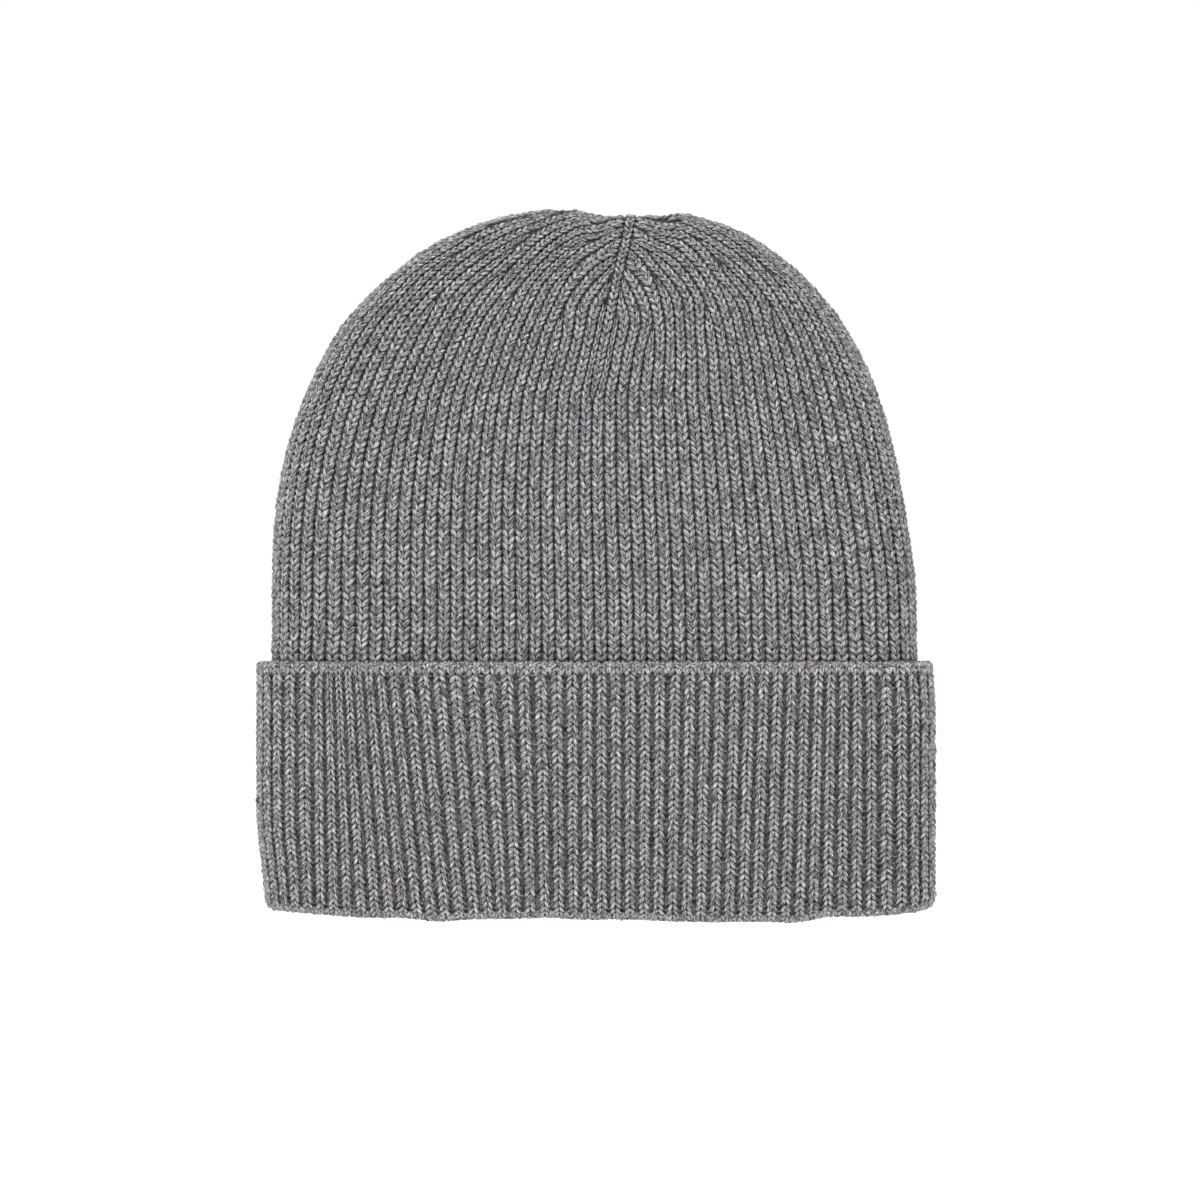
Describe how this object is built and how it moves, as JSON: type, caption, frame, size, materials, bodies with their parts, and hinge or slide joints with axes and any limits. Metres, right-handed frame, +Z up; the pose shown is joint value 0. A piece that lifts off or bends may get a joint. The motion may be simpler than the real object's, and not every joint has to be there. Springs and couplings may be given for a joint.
{
  "type": "knit beanie",
  "caption": "Ribbed knit beanie with a deep turned-up cuff, two crown darts and a gathered apex; the cuff turns down about its fold.",
  "frame": {"origin": "centre of the head opening, level with the underside of the turned-up cuff's fold", "axes": "+Z up to the crown, -Y the front, +X to the right as seen from the front"},
  "size_m": [0.2126, 0.0544, 0.224],
  "materials": {
    "knit_body": "melange rib knit, matt",
    "knit_cuff": "melange rib knit, matt",
    "seam_thread": "twisted yarn, matt",
    "label_cloth": "blank woven tape"
  },
  "bodies": {
    "shell": {"body_wall": "knit_body", "back_seam": "seam_thread", "crown_left": "knit_body", "crown_right": "knit_body", "dart_seam_front": "seam_thread", "dart_seam_back": "seam_thread", "crown_gather_thread": "seam_thread", "cuff_fold": "knit_cuff", "care_label": "label_cloth", "label_stitches": "seam_thread"},
    "cuff_rib_group_01": {"cuff_rib_group_01": "knit_cuff"},
    "cuff_rib_group_02": {"cuff_rib_group_02": "knit_cuff"},
    "cuff_rib_group_03": {"cuff_rib_group_03": "knit_cuff"},
    "cuff_rib_group_04": {"cuff_rib_group_04": "knit_cuff"},
    "cuff_rib_group_05": {"cuff_rib_group_05": "knit_cuff"},
    "cuff_rib_group_06": {"cuff_rib_group_06": "knit_cuff"},
    "cuff_rib_group_07": {"cuff_rib_group_07": "knit_cuff"},
    "cuff_rib_group_08": {"cuff_rib_group_08": "knit_cuff"},
    "cuff_rib_group_09": {"cuff_rib_group_09": "knit_cuff"},
    "cuff_rib_group_10": {"cuff_rib_group_10": "knit_cuff"},
    "cuff_rib_group_11": {"cuff_rib_group_11": "knit_cuff"},
    "cuff_rib_group_12": {"cuff_rib_group_12": "knit_cuff"},
    "cuff_rib_group_13": {"cuff_rib_group_13": "knit_cuff"},
    "cuff_rib_group_14": {"cuff_rib_group_14": "knit_cuff"},
    "cuff_rib_group_15": {"cuff_rib_group_15": "knit_cuff"},
    "cuff_rib_group_16": {"cuff_rib_group_16": "knit_cuff"},
    "cuff_rib_group_17": {"cuff_rib_group_17": "knit_cuff"},
    "cuff_rib_group_18": {"cuff_rib_group_18": "knit_cuff"},
    "cuff_rib_group_19": {"cuff_rib_group_19": "knit_cuff"},
    "cuff_rib_group_20": {"cuff_rib_group_20": "knit_cuff"},
    "cuff_rib_group_21": {"cuff_rib_group_21": "knit_cuff"},
    "cuff_rib_group_22": {"cuff_rib_group_22": "knit_cuff"},
    "cuff_rib_group_23": {"cuff_rib_group_23": "knit_cuff"},
    "cuff_rib_group_24": {"cuff_rib_group_24": "knit_cuff"},
    "cuff_rib_group_25": {"cuff_rib_group_25": "knit_cuff"},
    "cuff_rib_group_26": {"cuff_rib_group_26": "knit_cuff"},
    "cuff_rib_group_27": {"cuff_rib_group_27": "knit_cuff"},
    "cuff_rib_group_28": {"cuff_rib_group_28": "knit_cuff"}
  },
  "joints": [
    {"name": "cuff_turn_01", "type": "hinge", "parent": "shell", "child": "cuff_rib_group_01", "pos_m": [-0.07619, -0.02016, 0], "axis": [0.9935, -0.1134, 0], "range_deg": [0, 178]},
    {"name": "cuff_turn_02", "type": "hinge", "parent": "shell", "child": "cuff_rib_group_02", "pos_m": [-0.05448, -0.02229, 0], "axis": [0.9967, -0.0811, 0], "range_deg": [0, 178]},
    {"name": "cuff_turn_03", "type": "hinge", "parent": "shell", "child": "cuff_rib_group_03", "pos_m": [-0.03271, -0.0237, 0], "axis": [0.9988, -0.0487, 0], "range_deg": [0, 178]},
    {"name": "cuff_turn_04", "type": "hinge", "parent": "shell", "child": "cuff_rib_group_04", "pos_m": [-0.01091, -0.02441, 0], "axis": [0.9999, -0.0162, 0], "range_deg": [0, 178]},
    {"name": "cuff_turn_05", "type": "hinge", "parent": "shell", "child": "cuff_rib_group_05", "pos_m": [0.01091, -0.02441, 0], "axis": [0.9999, 0.0162, 0], "range_deg": [0, 178]},
    {"name": "cuff_turn_06", "type": "hinge", "parent": "shell", "child": "cuff_rib_group_06", "pos_m": [0.03271, -0.0237, 0], "axis": [0.9988, 0.0487, 0], "range_deg": [0, 178]},
    {"name": "cuff_turn_07", "type": "hinge", "parent": "shell", "child": "cuff_rib_group_07", "pos_m": [0.05448, -0.02229, 0], "axis": [0.9967, 0.0811, 0], "range_deg": [0, 178]},
    {"name": "cuff_turn_08", "type": "hinge", "parent": "shell", "child": "cuff_rib_group_08", "pos_m": [0.07619, -0.02016, 0], "axis": [0.9935, 0.1134, 0], "range_deg": [0, 178]},
    {"name": "cuff_turn_09", "type": "hinge", "parent": "shell", "child": "cuff_rib_group_09", "pos_m": [0.09142, -0.01771, 0], "axis": [0.9323, 0.3617, 0], "range_deg": [0, 178]},
    {"name": "cuff_turn_10", "type": "hinge", "parent": "shell", "child": "cuff_rib_group_10", "pos_m": [0.09883, -0.01253, 0], "axis": [0.6597, 0.7515, 0], "range_deg": [0, 178]},
    {"name": "cuff_turn_11", "type": "hinge", "parent": "shell", "child": "cuff_rib_group_11", "pos_m": [0.103, -0.00452, 0], "axis": [0.2378, 0.9713, 0], "range_deg": [0, 178]},
    {"name": "cuff_turn_12", "type": "hinge", "parent": "shell", "child": "cuff_rib_group_12", "pos_m": [0.103, 0.00452, 0], "axis": [-0.2378, 0.9713, 0], "range_deg": [0, 178]},
    {"name": "cuff_turn_13", "type": "hinge", "parent": "shell", "child": "cuff_rib_group_13", "pos_m": [0.09883, 0.01253, 0], "axis": [-0.6597, 0.7515, 0], "range_deg": [0, 178]},
    {"name": "cuff_turn_14", "type": "hinge", "parent": "shell", "child": "cuff_rib_group_14", "pos_m": [0.09142, 0.01771, 0], "axis": [-0.9323, 0.3617, 0], "range_deg": [0, 178]},
    {"name": "cuff_turn_15", "type": "hinge", "parent": "shell", "child": "cuff_rib_group_15", "pos_m": [0.07619, 0.02016, 0], "axis": [-0.9935, 0.1134, 0], "range_deg": [0, 178]},
    {"name": "cuff_turn_16", "type": "hinge", "parent": "shell", "child": "cuff_rib_group_16", "pos_m": [0.05448, 0.02229, 0], "axis": [-0.9967, 0.0811, 0], "range_deg": [0, 178]},
    {"name": "cuff_turn_17", "type": "hinge", "parent": "shell", "child": "cuff_rib_group_17", "pos_m": [0.03271, 0.0237, 0], "axis": [-0.9988, 0.0487, 0], "range_deg": [0, 178]},
    {"name": "cuff_turn_18", "type": "hinge", "parent": "shell", "child": "cuff_rib_group_18", "pos_m": [0.01091, 0.02441, 0], "axis": [-0.9999, 0.0162, 0], "range_deg": [0, 178]},
    {"name": "cuff_turn_19", "type": "hinge", "parent": "shell", "child": "cuff_rib_group_19", "pos_m": [-0.01091, 0.02441, 0], "axis": [-0.9999, -0.0162, 0], "range_deg": [0, 178]},
    {"name": "cuff_turn_20", "type": "hinge", "parent": "shell", "child": "cuff_rib_group_20", "pos_m": [-0.03271, 0.0237, 0], "axis": [-0.9988, -0.0487, 0], "range_deg": [0, 178]},
    {"name": "cuff_turn_21", "type": "hinge", "parent": "shell", "child": "cuff_rib_group_21", "pos_m": [-0.05448, 0.02229, 0], "axis": [-0.9967, -0.0811, 0], "range_deg": [0, 178]},
    {"name": "cuff_turn_22", "type": "hinge", "parent": "shell", "child": "cuff_rib_group_22", "pos_m": [-0.07619, 0.02016, 0], "axis": [-0.9935, -0.1134, 0], "range_deg": [0, 178]},
    {"name": "cuff_turn_23", "type": "hinge", "parent": "shell", "child": "cuff_rib_group_23", "pos_m": [-0.09142, 0.01771, 0], "axis": [-0.9323, -0.3617, 0], "range_deg": [0, 178]},
    {"name": "cuff_turn_24", "type": "hinge", "parent": "shell", "child": "cuff_rib_group_24", "pos_m": [-0.09883, 0.01253, 0], "axis": [-0.6597, -0.7515, 0], "range_deg": [0, 178]},
    {"name": "cuff_turn_25", "type": "hinge", "parent": "shell", "child": "cuff_rib_group_25", "pos_m": [-0.103, 0.00452, 0], "axis": [-0.2378, -0.9713, 0], "range_deg": [0, 178]},
    {"name": "cuff_turn_26", "type": "hinge", "parent": "shell", "child": "cuff_rib_group_26", "pos_m": [-0.103, -0.00452, 0], "axis": [0.2378, -0.9713, 0], "range_deg": [0, 178]},
    {"name": "cuff_turn_27", "type": "hinge", "parent": "shell", "child": "cuff_rib_group_27", "pos_m": [-0.09883, -0.01253, 0], "axis": [0.6597, -0.7515, 0], "range_deg": [0, 178]},
    {"name": "cuff_turn_28", "type": "hinge", "parent": "shell", "child": "cuff_rib_group_28", "pos_m": [-0.09142, -0.01771, 0], "axis": [0.9323, -0.3617, 0], "range_deg": [0, 178]}
  ],
  "couplings": [
    {"joint": "cuff_turn_02", "follows": "cuff_turn_01", "ratio": 1},
    {"joint": "cuff_turn_03", "follows": "cuff_turn_01", "ratio": 1},
    {"joint": "cuff_turn_04", "follows": "cuff_turn_01", "ratio": 1},
    {"joint": "cuff_turn_05", "follows": "cuff_turn_01", "ratio": 1},
    {"joint": "cuff_turn_06", "follows": "cuff_turn_01", "ratio": 1},
    {"joint": "cuff_turn_07", "follows": "cuff_turn_01", "ratio": 1},
    {"joint": "cuff_turn_08", "follows": "cuff_turn_01", "ratio": 1},
    {"joint": "cuff_turn_09", "follows": "cuff_turn_01", "ratio": 1},
    {"joint": "cuff_turn_10", "follows": "cuff_turn_01", "ratio": 1},
    {"joint": "cuff_turn_11", "follows": "cuff_turn_01", "ratio": 1},
    {"joint": "cuff_turn_12", "follows": "cuff_turn_01", "ratio": 1},
    {"joint": "cuff_turn_13", "follows": "cuff_turn_01", "ratio": 1},
    {"joint": "cuff_turn_14", "follows": "cuff_turn_01", "ratio": 1},
    {"joint": "cuff_turn_15", "follows": "cuff_turn_01", "ratio": 1},
    {"joint": "cuff_turn_16", "follows": "cuff_turn_01", "ratio": 1},
    {"joint": "cuff_turn_17", "follows": "cuff_turn_01", "ratio": 1},
    {"joint": "cuff_turn_18", "follows": "cuff_turn_01", "ratio": 1},
    {"joint": "cuff_turn_19", "follows": "cuff_turn_01", "ratio": 1},
    {"joint": "cuff_turn_20", "follows": "cuff_turn_01", "ratio": 1},
    {"joint": "cuff_turn_21", "follows": "cuff_turn_01", "ratio": 1},
    {"joint": "cuff_turn_22", "follows": "cuff_turn_01", "ratio": 1},
    {"joint": "cuff_turn_23", "follows": "cuff_turn_01", "ratio": 1},
    {"joint": "cuff_turn_24", "follows": "cuff_turn_01", "ratio": 1},
    {"joint": "cuff_turn_25", "follows": "cuff_turn_01", "ratio": 1},
    {"joint": "cuff_turn_26", "follows": "cuff_turn_01", "ratio": 1},
    {"joint": "cuff_turn_27", "follows": "cuff_turn_01", "ratio": 1},
    {"joint": "cuff_turn_28", "follows": "cuff_turn_01", "ratio": 1}
  ]
}
